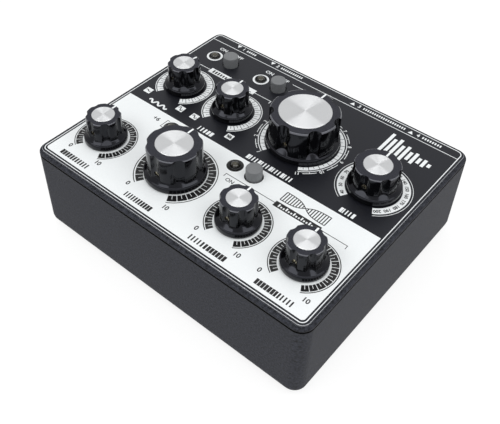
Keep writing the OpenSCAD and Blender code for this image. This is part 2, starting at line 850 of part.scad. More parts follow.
module shaft(c) {
    color("#c4c4c8") at_control(c)
        rotate_extrude() polygon([
            [0, shaft_end_z - plate_z], [shaft_d / 2, shaft_end_z - plate_z],
            [shaft_d / 2, shaft_top - shaft_bevel], [shaft_d / 2 - shaft_bevel, shaft_top], [0, shaft_top]
        ]);
}

body_shell();
rear_panel();
lid();
top_plate();
lid_screws();
feet();
main_board();
main_board_screws();
main_board_parts();
control_board();
ribbon_cable();
ribbon_plugs();
potentiometers();
pot_washers();
pot_nuts();
switches();
lamp_bezels();
lamp_lenses();
jack(jacks[0]);  // input_jack_left
jack(jacks[1]);  // input_jack_right
jack(jacks[2]);  // output_jack_left
jack(jacks[3]);  // output_jack_right
jack_washers();
jack_nuts();
power_inlet();
push_button(left_button);
push_button(centre_button);
push_button(front_button);
knob(feedback);  // feedback_knob
inlay(feedback);  // feedback_inlay
insert(feedback);  // feedback_insert
shaft(feedback);  // feedback_shaft
knob(volume);  // volume_knob
inlay(volume);  // volume_inlay
insert(volume);  // volume_insert
shaft(volume);  // volume_shaft
knob(high_pass);  // high_pass_knob
inlay(high_pass);  // high_pass_inlay
insert(high_pass);  // high_pass_insert
shaft(high_pass);  // high_pass_shaft
knob(low_pass);  // low_pass_knob
inlay(low_pass);  // low_pass_inlay
insert(low_pass);  // low_pass_insert
shaft(low_pass);  // low_pass_shaft
knob(depth);  // depth_knob
inlay(depth);  // depth_inlay
insert(depth);  // depth_insert
shaft(depth);  // depth_shaft
knob(rate);  // rate_knob
inlay(rate);  // rate_inlay
insert(rate);  // rate_insert
shaft(rate);  // rate_shaft
knob(multiply);  // multiply_knob
inlay(multiply);  // multiply_inlay
insert(multiply);  // multiply_insert
shaft(multiply);  // multiply_shaft
knob(tempo);  // tempo_knob
inlay(tempo);  // tempo_inlay
insert(tempo);  // tempo_insert
shaft(tempo);  // tempo_shaft
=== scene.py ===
import json
from functools import partial
from math import atan2, cos, copysign, pi, radians, sin, tanh

import bmesh
import bpy
from mathutils import Matrix, Vector


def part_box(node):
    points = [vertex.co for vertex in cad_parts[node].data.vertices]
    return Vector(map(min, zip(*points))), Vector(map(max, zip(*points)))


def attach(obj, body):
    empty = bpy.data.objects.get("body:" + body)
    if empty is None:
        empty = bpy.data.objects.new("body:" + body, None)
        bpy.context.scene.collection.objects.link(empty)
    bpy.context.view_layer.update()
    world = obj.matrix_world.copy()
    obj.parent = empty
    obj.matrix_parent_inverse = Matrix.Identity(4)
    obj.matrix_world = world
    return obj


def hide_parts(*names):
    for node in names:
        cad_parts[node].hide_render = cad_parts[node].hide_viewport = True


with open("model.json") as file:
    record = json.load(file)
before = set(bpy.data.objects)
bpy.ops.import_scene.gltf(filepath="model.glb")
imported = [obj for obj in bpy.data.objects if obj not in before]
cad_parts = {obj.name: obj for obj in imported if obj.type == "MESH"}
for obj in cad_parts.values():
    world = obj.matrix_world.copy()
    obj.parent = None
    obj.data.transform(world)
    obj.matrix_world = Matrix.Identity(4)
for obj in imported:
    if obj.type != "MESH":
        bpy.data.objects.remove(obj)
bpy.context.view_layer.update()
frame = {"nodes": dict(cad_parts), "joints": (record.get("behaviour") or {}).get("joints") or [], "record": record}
mm = 0.001
weldGap = 0.0005 * mm
# The frame's axis on the panel, in mm from the printed border's front left corner
panelOrigin = (90, 76.8)
controls = ["feedback", "volume", "high_pass", "low_pass", "depth", "rate", "multiply", "tempo"]
frontControls = ["feedback", "volume", "high_pass", "low_pass"]
joints = {joint["name"]: joint for joint in frame["joints"]}
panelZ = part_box("top_plate")[1].z


def hexColour(text):
    channels = [int(text[i:i + 2], 16) / 255 for i in (1, 3, 5)]
    return [c / 12.92 if c <= 0.04045 else ((c + 0.055) / 1.055) ** 2.4 for c in channels] + [1.0]


def setInputs(node, inputs):
    # An input may be a value, a colour's hex text, an output, or a node that stands for its first output
    for name, value in inputs.items():
        if isinstance(value, str):
            value = hexColour(value)
        if isinstance(value, bpy.types.Node):
            value = value.outputs[0]
        if isinstance(value, bpy.types.NodeSocket):
            node.id_data.links.new(value, node.inputs[name])
        else:
            node.inputs[name].default_value = value


def addNode(tree, kind, inputs=None, **settings):
    # A kind may end with its operation or, in a Mix, its data type; one without Node in it is a shader node
    kind, *mode = kind.split()
    node = tree.nodes.new(kind if "Node" in kind else "ShaderNode" + kind)
    if mode:
        setattr(node, "data_type" if kind == "Mix" else "operation", mode[0])
    for name, value in settings.items():
        setattr(node, name, value)
    setInputs(node, inputs or {})
    return node


def startTree(name, sockets, floats=()):
    # Geometry Nodes tree with named inputs and one geometry output
    tree = bpy.data.node_groups.new(name, "GeometryNodeTree")
    for label, kind in {**sockets, **dict.fromkeys(floats, "Float")}.items():
        tree.interface.new_socket(label, in_out="INPUT", socket_type="NodeSocket" + kind)
    tree.interface.new_socket("Geometry", in_out="OUTPUT", socket_type="NodeSocketGeometry")
    add = partial(addNode, tree)
    return add, add("NodeGroupInput").outputs


def endTree(add, geometry, finish):
    real = add("GeometryNodeRealizeInstances", {"Geometry": geometry})
    coated = add("GeometryNodeSetMaterial", {"Geometry": real, "Material": finish})
    return add("NodeGroupOutput", {"Geometry": coated}).id_data


def addObject(name, data):
    thing = bpy.data.objects.new(name, data)
    bpy.context.scene.collection.objects.link(thing)
    return thing


def evaluated(holder):
    return bpy.data.meshes.new_from_object(holder.evaluated_get(bpy.context.evaluated_depsgraph_get()))


def runTree(tree, values, mesh=None):
    # The plain mesh that a tree makes from a mesh, with these named inputs
    holder = addObject("holder", mesh or bpy.data.meshes.new("holder"))
    step = holder.modifiers.new("tree", "NODES")
    step.node_group = tree
    for item in tree.interface.items_tree:
        if item.in_out == "INPUT" and item.name in values:
            step[item.identifier] = values[item.name]
    result = evaluated(holder)
    holder.modifiers.remove(step)
    bpy.data.objects.remove(holder)
    return result


def pointsMesh(points):
    mesh = bpy.data.meshes.new("points")
    mesh.from_pydata(points, [], [])
    return mesh


def skin(rings, count, startZ=None, endZ=None):
    # Quads over rings of (radii, z), with a point on the axis closing each end that has a height
    verts, faces = [], []
    for radii, z in rings:
        for i in range(count):
            angle = 2 * pi * i / count
            verts.append((radii[i] * cos(angle), radii[i] * sin(angle), z))
    for k in range(len(rings) - 1):
        for i in range(count):
            j = (i + 1) % count
            faces.append((k * count + i, k * count + j, (k + 1) * count + j, (k + 1) * count + i))
    for z, row in ((startZ, 0), (endZ, len(rings) - 1)):
        if z is not None:
            verts.append((0, 0, z))
            faces += [(len(verts) - 1, row * count + i, row * count + (i + 1) % count) for i in range(count)]
    return verts, faces


def lathe(profile, count):
    # Turned piece from (radius, z) points in mm; a point at radius 0 closes that end
    body = [p for p in profile if p[0] > 0]
    start = profile[0][1] * mm if profile[0][0] == 0 else None
    end = profile[-1][1] * mm if profile[-1][0] == 0 else None
    rings = [([r * mm] * count, z * mm) for r, z in body]
    if start is None and end is None:
        rings.append(rings[0])
    return skin(rings, count, start, end)


def arcPoints(x, z, radius, first, last, steps):
    points = []
    for i in range(steps + 1):
        angle = radians(first + (last - first) * i / steps)
        points.append((x + radius * cos(angle), z + radius * sin(angle)))
    return points


def tidyMesh(mesh):
    # Doubles merged, slivers dissolved and faces turned outwards
    work = bmesh.new()
    work.from_mesh(mesh)
    bmesh.ops.remove_doubles(work, verts=work.verts, dist=weldGap)
    bmesh.ops.dissolve_degenerate(work, edges=work.edges, dist=weldGap)
    bmesh.ops.recalc_face_normals(work, faces=work.faces)
    work.to_mesh(mesh)
    work.free()
    return mesh


def meshOf(name, verts, faces, matrix=None):
    mesh = bpy.data.meshes.new(name)
    mesh.from_pydata(verts, [], faces)
    tidyMesh(mesh)
    if matrix:
        mesh.transform(matrix)
    return mesh


def joined(name, meshes):
    work = bmesh.new()
    for mesh in meshes:
        work.from_mesh(mesh)
        bpy.data.meshes.remove(mesh)
    result = bpy.data.meshes.new(name)
    work.to_mesh(result)
    work.free()
    return result


def addPiece(name, mesh, material, body, replaces=(), sharp=32):
    mesh.name = name
    mesh.materials.clear()
    mesh.materials.append(material)
    for face in mesh.polygons:
        face.material_index = 0
    mesh.shade_smooth()
    mesh.set_sharp_from_angle(angle=radians(sharp))
    piece = addObject(name, mesh)
    if replaces:
        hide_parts(*replaces)
    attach(piece, body)


def roundBox(node):
    # Half the width of a CAD node, and its lowest and highest level above the panel, in mm
    low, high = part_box(node)
    return (high.x - low.x) / 2 / mm, (low.z - panelZ) / mm, (high.z - panelZ) / mm


def startNodes(owner):
    owner.use_nodes = True
    owner.node_tree.nodes.clear()
    return partial(addNode, owner.node_tree)


def startMaterial(name, colour, roughness, inputs=None):
    material = bpy.data.materials.new(name)
    add = startNodes(material)
    shader = add("BsdfPrincipled", {"Base Color": colour, "Roughness": roughness, **(inputs or {})})
    add("OutputMaterial", {"Surface": shader})
    return material, add, shader


def addGrain(add, shader, grain, colours, roughness, relief, stretch=(1, 1, 1)):
    # Fine mottling: grain size and relief in mm, two colours and two roughness values
    mapping = add("Mapping", {"Vector": add("TexCoord").outputs["Object"], "Scale": stretch})
    noise = add("TexNoise", {"Vector": mapping, "Scale": 1 / (grain * mm), "Detail": 3.0, "Roughness": 0.6})
    spread = add("MapRange", {"Value": noise, "From Min": 0.3, "From Max": 0.7})
    tone = add("Mix RGBA", {0: spread, 6: colours[0], 7: colours[1]})
    gloss = add("MapRange", {"Value": spread, "To Min": roughness[0], "To Max": roughness[1]})
    bump = add("Bump", {"Height": noise, "Distance": relief * mm})
    setInputs(shader, {"Base Color": tone.outputs[2], "Roughness": gloss, "Normal": bump})
    return tone


def grainMaterial(name, grain, colours, roughness, relief, inputs=None, stretch=(1, 1, 1)):
    material, add, shader = startMaterial(name, colours[0], roughness[0], inputs)
    addGrain(add, shader, grain, colours, roughness, relief, stretch)
    return material


# The seam's painted shade has its own colour and reaches so far past the seam, in mm
coatStyle = {
    "grain": 1.15, "tones": ("#101115", "#3d3f47"), "gloss": (0.5, 0.7), "relief": 0.25, "ior": 1.26,
    "seamShadeTone": "#010102", "lidRim": 1.5, "seamShadeLap": 0.35}


def makePowderCoat(grain, tones, gloss, relief, ior, seamShadeTone, lidRim, seamShadeLap):
    # Charcoal powder coat: a pebbled, slightly blue skin, twice as coarse as real so that it shows,
    # with painted shade near black in the seam under the lid's rim and on a little of both lips, as a shadow line
    material, add, shader = startMaterial("charcoal powder coat", tones[1], gloss[1], {"IOR": ior})
    tone = addGrain(add, shader, grain, tones, gloss, relief)
    # Painted shade: the band from the body's top to the lid's rim, and a little past both, is coloured near black
    low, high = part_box("body_shell")[1].z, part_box("lid")[1].z - lidRim * mm
    height = add("SeparateXYZ", {"Vector": add("TexCoord").outputs["Object"]})
    joint = add("Math COMPARE", {
        0: height.outputs["Z"], 1: (low + high) / 2, 2: (high - low) / 2 + seamShadeLap * mm})
    mixed = add("Mix RGBA", {0: joint, 6: tone.outputs[2], 7: seamShadeTone})
    setInputs(shader, {"Base Color": mixed.outputs[2]})
    return material


powderCoat = makePowderCoat(**coatStyle)
# Turned brass of the inserts and set screws: pale yellow with fine tool marks
brass = grainMaterial("turned brass", 0.3, ("#bdb191", "#ddd5be"), (0.16, 0.3), 0.006, {"Metallic": 1.0})
# Plated steel of shafts, screws and pot cans: cool grey with a slight bloom
steel = grainMaterial("plated steel", 0.4, ("#8e8e90", "#a8a8aa"), (0.25, 0.4), 0.006, {"Metallic": 1.0})
# Nickel plate on nuts, washers and bushings: bright, warm grey
nickel = grainMaterial("nickel plate", 0.8, ("#b3b0aa", "#c8c6c1"), (0.14, 0.26), 0.004, {"Metallic": 1.0})
# Moulded rubber of the feet: matt black with a dusty grain
rubber = grainMaterial("black rubber", 0.5, ("#121212", "#1d1d1d"), (0.7, 0.9), 0.03)
# Moulded ABS of the push buttons: even mid grey, slightly satin
buttonPlastic = grainMaterial("grey moulded ABS", 0.5, ("#6a6c6e", "#757779"), (0.4, 0.55), 0.012)
# Moulded nylon of sockets, switches and lamp bezels: soft black sheen
blackPlastic = grainMaterial("black nylon", 0.6, ("#0d0d0e", "#161617"), (0.3, 0.45), 0.01)
# Solder mask of the circuit boards: green with copper runs showing through
circuitBoard = grainMaterial(
    "green solder mask", 1.8, ("#0d3a1c", "#1d5a30"), (0.3, 0.5), 0.03, None, (1, 0.15, 1))
# Flat cable: grey ribs along its length
ribbon = grainMaterial(
    "grey flat cable", 1.2, ("#77777a", "#95959a"), (0.45, 0.6), 0.05, None, (1, 0.05, 0.05))
# White screen ink: cool, even and slightly satin
whiteInk = grainMaterial("white screen ink", 0.5, ("#e7ebec", "#eceff0"), (0.42, 0.55), 0.004)
# Black screen ink over the white field: dense, a little glossier than the plate
blackInk = grainMaterial("black screen ink", 0.5, ("#09090a", "#0f0f10"), (0.35, 0.5), 0.004)


def makePhenolic():
    # Compression-moulded phenolic: polished flanks with faint orange peel, a finely grained top face
    # and a painted highlight in light grey on the sloping faces of the top edge, from 10 mm above the panel
    material, add, shader = startMaterial("black phenolic", "#08080a", 0.2, {
        "IOR": 1.37, "Specular Tint": (0.84, 0.87, 1.0, 1.0)})
    where = add("TexCoord")
    place = where.outputs["Object"]
    normal = add("SeparateXYZ", {"Vector": where.outputs["Normal"]})
    height = add("SeparateXYZ", {"Vector": place})
    top = add("MapRange", {"Value": normal.outputs["Z"], "From Min": 0.93, "From Max": 0.99})
    peel = add("TexNoise", {"Vector": place, "Scale": 1 / (3 * mm), "Detail": 1.0})
    grain = add("TexNoise", {"Vector": place, "Scale": 1 / (0.7 * mm), "Detail": 3.0})
    flank = add("MapRange", {"Value": peel, "To Min": 0.06, "To Max": 0.15})
    face = add("MapRange", {"Value": grain, "To Min": 0.34, "To Max": 0.6})
    gloss = add("Mix", {0: top, 2: flank, 3: face})
    mottle = add("Math MULTIPLY", {0: grain, 1: top})
    tone = add("Mix RGBA", {0: mottle, 6: "#040405", 7: "#36373f"})
    above = add("Math GREATER_THAN", {0: height.outputs["Z"], 1: panelZ + 10 * mm})
    # Painted highlight: sloping faces higher than 10 mm above the panel are coloured light grey
    edge = add("Math COMPARE", {0: normal.outputs["Z"], 1: 0.55, 2: 0.35})
    rim = add("Math MULTIPLY", {0: edge, 1: above})
    edgeHighlight = add("Mix RGBA", {0: rim, 6: tone.outputs[2], 7: "#5f6065"})
    bump = add("Bump", {"Height": mottle, "Distance": 0.05 * mm})
    setInputs(shader, {"Base Color": edgeHighlight.outputs[2], "Roughness": gloss, "Normal": bump})
    return material


def makePlateMaterial():
    # Satin black aluminium plate: near black on top, bare metal where its edge was cut
    material, add, shader = startMaterial("satin black aluminium", "#0e0e0f", 0.4, {
        "IOR": 1.48, "Specular Tint": (0.87, 0.9, 1.0, 1.0)})
    tone = addGrain(add, shader, 0.7, ("#08090d", "#101118"), (0.34, 0.48), 0.008)
    normal = add("SeparateXYZ", {"Vector": add("TexCoord").outputs["Normal"]})
    edge = add("Math LESS_THAN", {0: normal.outputs["Z"], 1: 0.9})
    mixed = add("Mix RGBA", {0: edge, 6: tone.outputs[2], 7: "#b4b6b9"})
    setInputs(shader, {"Base Color": mixed.outputs[2], "Metallic": edge})
    return material


def makeSpunMaterial():
    # Spun aluminium: bright opposed fans from fine turning rings, along the UV map's radius in mm
    material, add, shader = startMaterial(
        "spun aluminium", "#e2e3e5", 0.3, {"Metallic": 1.0, "Anisotropic": 1.0})
    radius = add("SeparateXYZ", {"Vector": add("UVMap", uv_map="turning")})
    rings = add("TexNoise", {"W": radius.outputs["X"], "Scale": 4.0, "Detail": 2.0}, noise_dimensions="1D")
    tone = add("Mix RGBA", {0: rings, 6: "#edeff1", 7: "#f6f7f8"})
    gloss = add("MapRange", {
        "Value": rings, "From Min": 0.3, "From Max": 0.7, "To Min": 0.36, "To Max": 0.39})
    bump = add("Bump", {"Height": rings, "Distance": 0.0003 * mm})
    tangent = add("Tangent", direction_type="UV_MAP", uv_map="turning")
    setInputs(shader, {"Base Color": tone.outputs[2], "Roughness": gloss, "Normal": bump, "Tangent": tangent})
    return material


def makeLensMaterial():
    # Smoked acrylic lens: dark olive, with paler clouds towards the crown of the dome that stand partly for the
    # die inside and partly are a painted highlight
    material, add, shader = startMaterial(
        "smoked acrylic", "#1b180f", 0.12, {"IOR": 1.49, "Coat Weight": 0.4})
    place = add("TexCoord").outputs["Object"]
    height = add("SeparateXYZ", {"Vector": place})
    rise = add("MapRange", {
        "Value": height.outputs["Z"], "From Min": panelZ + 0.8 * mm, "From Max": panelZ + 2.2 * mm})
    cloud = add("TexNoise", {"Vector": place, "Scale": 1 / (1.5 * mm), "Detail": 2.0})
    # Partly painted highlight: paler clouds towards the crown
    dieAndHighlight = add("Math MULTIPLY", {0: rise, 1: cloud})
    tone = add("Mix RGBA", {0: dieAndHighlight, 6: "#131310", 7: "#56523f"})
    setInputs(shader, {"Base Color": tone.outputs[2]})
    return material


phenolic = makePhenolic()
satinPlate = makePlateMaterial()
spunAluminium = makeSpunMaterial()
smokedLens = makeLensMaterial()
print("materials made")

slotMaterials = {
    "powder_coat": powderCoat, "printed_plate": satinPlate, "phenolic": phenolic, "spun_aluminium": steel,
    "brass": brass, "steel": steel, "nickel": nickel, "rubber": rubber, "button_plastic": buttonPlastic,
    "black_plastic": blackPlastic, "lens": smokedLens, "circuit_board": circuitBoard, "ribbon": ribbon}
creaseAngle = radians(28)


def makeSmoothTree():
    # Smooth shading with crease edges, for the faceted CAD meshes
    add, given = startTree("smoothCad", {"Mesh": "Geometry"})
    weld = add("GeometryNodeMergeByDistance", {"Geometry": given["Mesh"], "Distance": 2 * weldGap})
    angle = add("GeometryNodeInputMeshEdgeAngle")
    sharp = add("FunctionNodeCompare GREATER_THAN", {0: angle, 1: creaseAngle})
    smooth = add("GeometryNodeSetShadeSmooth", {"Geometry": weld, "Shade Smooth": True}, domain="FACE")
    creased = add("GeometryNodeSetShadeSmooth", {
        "Geometry": smooth, "Selection": sharp, "Shade Smooth": False}, domain="EDGE")
    return add("NodeGroupOutput", {"Geometry": creased}).id_data


smoothTree = makeSmoothTree()
for part in frame["record"]["subparts"]:
    cadNode = frame["nodes"][part["node"]]
    cadNode.data.materials.clear()
    cadNode.data.materials.append(slotMaterials[part["material_slot"]])
    cadNode.modifiers.new("smooth", "NODES").node_group = smoothTree
    cadNode.modifiers.new("weighted", "WEIGHTED_NORMAL").keep_sharp = True
print("CAD pieces finished")


knobStyle = {
    "lobes": 7, "sides": 420, "skirtBlend": 0.35, "skirtRim": 3.3, "rimRound": 0.7, "footRound": 0.4,
    "skirtRise": 2.2, "coneRoom": 1, "recessR": 7.43, "recessTop": 4.1, "insertR": 4.53,
    "insertTop": 13.13, "screwUp": 9, "screwR": 1.53, "inlayDeep": 0.7, "seatGap": 0.05, "seatEdge": 0.1,
    "crease": 38}
# Diameter over lobes, depth and radius of flutes, rounding of their cusps and of the top edge, in mm
knobForms = {
    "small": (19.6, 1.1, 3.5, 0.25, 0.7), "tempo": (25, 1.1, 4.5, 0.25, 0.8),
    "volume": (30.2, 1.1, 6.5, 0.25, 0.8), "multiply": (39.8, 2.7, 4.3, 0.25, 1.3)}


def makeKnobTree():
    # A turned blank, milled with flutes down to its skirt and cross-drilled for the set screw.
    # A profile point holds a radius in x, a height in z, and 1 in y where the cutter may reach it
    add, given = startTree("flutedKnob", {
        "Profile": "Geometry", "Sides": "Int", "Lobes": "Int", "Finish": "Material"}, [
        "Body Radius", "Flute Depth", "Flute Radius", "Cusp", "Skirt Radius", "Skirt Top", "Skirt Slope",
        "Skirt Blend", "Screw Height", "Screw Radius"])
    rows = add("Math ADD", {0: given["Sides"], 1: 1.0})
    points = add("GeometryNodeAttributeDomainSize", {"Geometry": given["Profile"]})
    grid = add("GeometryNodeMeshGrid", {"Vertices X": points.outputs["Point Count"], "Vertices Y": rows})
    index = add("GeometryNodeInputIndex")
    column = add("Math FLOOR", {0: add("Math DIVIDE", {0: index, 1: rows})})
    row = add("Math MODULO", {0: index, 1: rows})
    step = add("Math DIVIDE", {0: 2 * pi, 1: given["Sides"]})
    turn = add("Math MULTIPLY", {0: row, 1: step})
    blank = add("GeometryNodeSampleIndex", {
        "Geometry": given["Profile"], "Value": add("GeometryNodeInputPosition"), "Index": column},
        data_type="FLOAT_VECTOR")
    place = add("SeparateXYZ", {"Vector": blank}).outputs

    halfPitch = add("Math DIVIDE", {0: pi, 1: given["Lobes"]})
    offset = add("Math PINGPONG", {0: turn, 1: halfPitch})
    valley = add("Math SUBTRACT", {0: given["Body Radius"], 1: given["Flute Depth"]})
    centre = add("Math ADD", {0: valley, 1: given["Flute Radius"]})
    across, along = [add("Math MULTIPLY", {0: centre, 1: add("Math " + kind, {0: offset})})
                     for kind in ("SINE", "COSINE")]
    cutter = add("Math POWER", {0: given["Flute Radius"], 1: 2.0})
    reach = add("Math SUBTRACT", {0: cutter, 1: add("Math MULTIPLY", {0: across, 1: across})})
    missed = add("Math LESS_THAN", {0: reach, 1: 0.0})
    flute = add("Math SUBTRACT", {0: along, 1: add("Math SQRT", {0: reach})})
    flute = add("Math ADD", {0: flute, 1: missed})
    milled = add("Math SMOOTH_MIN", {0: place["X"], 1: flute, 2: given["Cusp"]})

    above = add("Math SUBTRACT", {0: place["Z"], 1: given["Skirt Top"]})
    inward = add("Math MULTIPLY", {0: above, 1: given["Skirt Slope"]})
    cone = add("Math SUBTRACT", {0: given["Skirt Radius"], 1: inward})
    skirted = add("Math SMOOTH_MAX", {0: milled, 1: cone, 2: given["Skirt Blend"]})
    radius = add("Mix", {0: place["Y"], 2: place["X"], 3: skirted})
    spoke = add("CombineXYZ", {"X": radius, "Z": place["Z"]})
    point = add("VectorRotate", {"Vector": spoke, "Angle": turn}, rotation_type="Z_AXIS")
    turned = add("GeometryNodeSetPosition", {"Geometry": grid, "Position": point})
    closed = add("GeometryNodeMergeByDistance", {"Geometry": turned, "Distance": weldGap})

    # The drill reaches from 2 mm beside the axis to 2 mm past the skirt's cone
    drill = add("GeometryNodeMeshCylinder", {
        "Vertices": 32, "Radius": given["Screw Radius"], "Depth": given["Skirt Radius"]})
    middle = add("Math MULTIPLY_ADD", {0: given["Skirt Radius"], 1: 0.5, 2: 2 * mm})
    laid = add("GeometryNodeTransform", {
        "Geometry": drill, "Rotation": (0, pi / 2, 0),
        "Translation": add("CombineXYZ", {"X": middle, "Z": given["Screw Height"]})})
    drilled = add("GeometryNodeMeshBoolean DIFFERENCE", {"Mesh 1": closed, "Mesh 2": laid}, solver="EXACT")
    return endTree(add, drilled, given["Finish"])


def knobProfile(form, skirtR, inlayR, bottom, top):
    # From the inlay's seat over the edge, down the body and skirt, and up inside to the insert's seat
    style = knobStyle
    bodyR, rounding, seatR = form[0] / 2, form[4], inlayR + style["seatGap"]
    seat, edge = top - style["inlayDeep"], style["seatEdge"]
    rim, rimTop, foot = style["rimRound"], bottom + style["skirtRim"], style["footRound"]
    recessR, recessTop = style["recessR"], style["recessTop"]
    insertR, insertTop = style["insertR"], style["insertTop"]
    upper = [(0, seat), (seatR, seat), (seatR, top - edge), (seatR + edge, top)]
    flat, coneTop = bodyR - rounding - seatR - edge, rimTop + style["skirtRise"] + style["coneRoom"]
    milled = [(seatR + edge + flat * part, top) for part in (0.3, 0.6, 0.97)]
    milled += arcPoints(bodyR - rounding, top - rounding, rounding, 90, 0, 6)
    milled += [(bodyR, top - rounding - (top - rounding - coneTop) * k / 5) for k in range(1, 5)]
    milled += [(bodyR, coneTop - (coneTop - rimTop) * k / 16) for k in range(17)]
    lower = arcPoints(skirtR - rim, rimTop - rim, rim, 78, 0, 5)
    lower += arcPoints(skirtR - foot, bottom + foot, foot, 0, -90, 3)
    lower += [(recessR, bottom), (recessR, recessTop), (insertR, recessTop), (insertR, insertTop),
              (0, insertTop)]
    parts = ((0, upper), (1, milled), (0, lower))
    return pointsMesh([(x * mm, reach, z * mm) for reach, part in parts for x, z in part])


knobTree = makeKnobTree()


def makeKnob(control):
    form = knobForms.get(control, knobForms["small"])
    style = knobStyle
    skirtR, bottom, top = roundBox(control + "_knob")
    inlayR, inlayLow, inlayHigh = roundBox(control + "_inlay")
    bodyR, coneR = form[0] / 2, skirtR - style["rimRound"]
    knob = runTree(knobTree, {
        "Sides": style["sides"], "Lobes": style["lobes"], "Body Radius": bodyR * mm,
        "Flute Depth": form[1] * mm, "Flute Radius": form[2] * mm, "Cusp": form[3] * mm,
        "Skirt Radius": coneR * mm, "Skirt Top": (bottom + style["skirtRim"]) * mm,
        "Skirt Slope": (coneR - bodyR + form[1]) / style["skirtRise"],
        "Skirt Blend": style["skirtBlend"] * mm, "Screw Height": style["screwUp"] * mm,
        "Screw Radius": style["screwR"] * mm, "Finish": phenolic},
        knobProfile(form, skirtR, inlayR, bottom, top))
    joint = joints[control + "_turn"]
    place = Matrix.Translation(Vector(joint["pos_m"]))
    place = place @ Matrix.Rotation(-radians(sum(joint["range_deg"]) / 2), 4, "Z")
    tidyMesh(knob).transform(place @ Matrix.Rotation(-pi / 2, 4, "Z"))
    addPiece(control + "_knob_shell", knob, phenolic, control + "_control",
             [control + "_knob"], style["crease"])
    makeInlay(control, inlayR, inlayLow, inlayHigh, place)
    makePointer(control, inlayR, bodyR, top, place)


# Rings of the flat as shares of the radius, and the rim's steps inward and down in mm
inlayStyle = {
    "rings": (0.02, 0.1, 0.25, 0.5, 0.75, 0.9), "rim": ((0.22, 0), (0.12, 0.04), (0, 0.2)), "segments": 96,
    "crease": 50}


def makeInlay(control, radius, low, high, place):
    style = inlayStyle
    profile = [(0, high)] + [(radius * part, high) for part in style["rings"]]
    profile += [(radius - inward, high - drop) for inward, drop in style["rim"]] + [(radius, low), (0, low)]
    disc = meshOf(control + "_disc", *lathe(profile, style["segments"]))
    layer = disc.uv_layers.new(name="turning")
    for face in disc.polygons:
        base = atan2(face.center.y, face.center.x)
        for index in face.loop_indices:
            point = disc.vertices[disc.loops[index].vertex_index].co
            turn = atan2(point.y, point.x) if point.xy.length > weldGap else base
            turn += 2 * pi * round((base - turn) / (2 * pi))
            layer.data[index].uv = (point.xy.length / mm, turn)
    disc.transform(place)
    addPiece(control + "_disc", disc, spunAluminium, control + "_control",
             [control + "_inlay"], style["crease"])


pointerStyle = {"width": 1.05, "fromInlay": 0.25, "fromEdge": 0.3, "sunk": 0.05, "thick": 0.06}


def makePointer(control, inlayR, bodyR, top, place):
    style = pointerStyle
    half, start, end = style["width"] / 2, inlayR + style["fromInlay"], bodyR - style["fromEdge"]
    outline = [(-half, start), (half, start)] + arcPoints(0, end - half, half, 0, 180, 8)
    levels = ((top - style["sunk"]) * mm, (top + style["thick"]) * mm)
    count = len(outline)
    verts = [(x * mm, y * mm, z) for z in levels for x, y in outline]
    faces = [tuple(range(count)), tuple(range(count, 2 * count))]
    faces += [(i, (i + 1) % count, count + (i + 1) % count, count + i) for i in range(count)]
    pointer = meshOf("pointer", verts, faces, place)
    addPiece(control + "_pointer", pointer, whiteInk, control + "_control")


for control in controls:
    makeKnob(control)
print("knobs made")


def makeCopiesTree():
    # One shape at every point of a mesh
    add, given = startTree("copiesAtPoints", {"Places": "Geometry", "Shape": "Object", "Finish": "Material"})
    shape = add("GeometryNodeObjectInfo", {"Object": given["Shape"]})
    copies = add("GeometryNodeInstanceOnPoints", {
        "Points": given["Places"], "Instance": shape.outputs["Geometry"]})
    return endTree(add, copies, given["Finish"])


copiesTree = makeCopiesTree()


def copiesAt(mesh, places, finish):
    shape = addObject("shape", mesh)
    result = runTree(copiesTree, {"Shape": shape, "Finish": finish}, pointsMesh(places))
    bpy.data.objects.remove(shape)
    return result


# In mm; the wall has a ring so far above the panel and one so far below its top edge
buttonStyle = {
    "stemR": 2, "sunk": 1.2, "footEdge": 0.2, "wall": (1, 1.2), "rounding": 0.55, "crown": 0.3, "segments": 64}


def makeButton(name, stemR, sunk, footEdge, wall, rounding, crown, segments):
    centre = sum(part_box(name), Vector()) / 2
    radius, end, top = roundBox(name)
    edge = top - crown
    profile = [(0, end), (stemR, end), (stemR, -sunk), (radius - footEdge, -sunk), (radius, footEdge - sunk),
               (radius, wall[0]), (radius, edge - wall[1])]
    profile += arcPoints(radius - rounding, edge - rounding, rounding, 0, 84, 6)
    profile += [(radius * part, top - crown * part ** 2) for part in (0.8, 0.6, 0.4, 0.2, 0.08, 0)]
    cap = meshOf(name, *lathe(profile, segments), Matrix.Translation((centre.x, centre.y, panelZ)))
    addPiece(name + "_cap", cap, buttonPlastic, name + "_body", [name])


for name in ("left_button", "centre_button", "front_button"):
    makeButton(name, **buttonStyle)

lampStyle = {
    "lensR": 2.9, "lensUp": 2.2, "bodyDown": 1.5, "leadR": 0.3, "leadGap": 1.27, "play": 0.03, "barrelR": 3.38,
    "flangeR": 3.75, "flangeT": 0.7, "flangeSide": 0.35, "rounding": 0.3, "mouth": (0.25, 0.2)}
# Places on the panel, in mm
lampPlaces = [(13.9, 128.65), (52.0, 128.65), (42.2, 58.75), (90.3, 58.75)]


def panelPoint(x, y):
    # From mm on the panel to metres in the frame
    return Vector(((x - panelOrigin[0]) * mm, (y - panelOrigin[1]) * mm, panelZ))


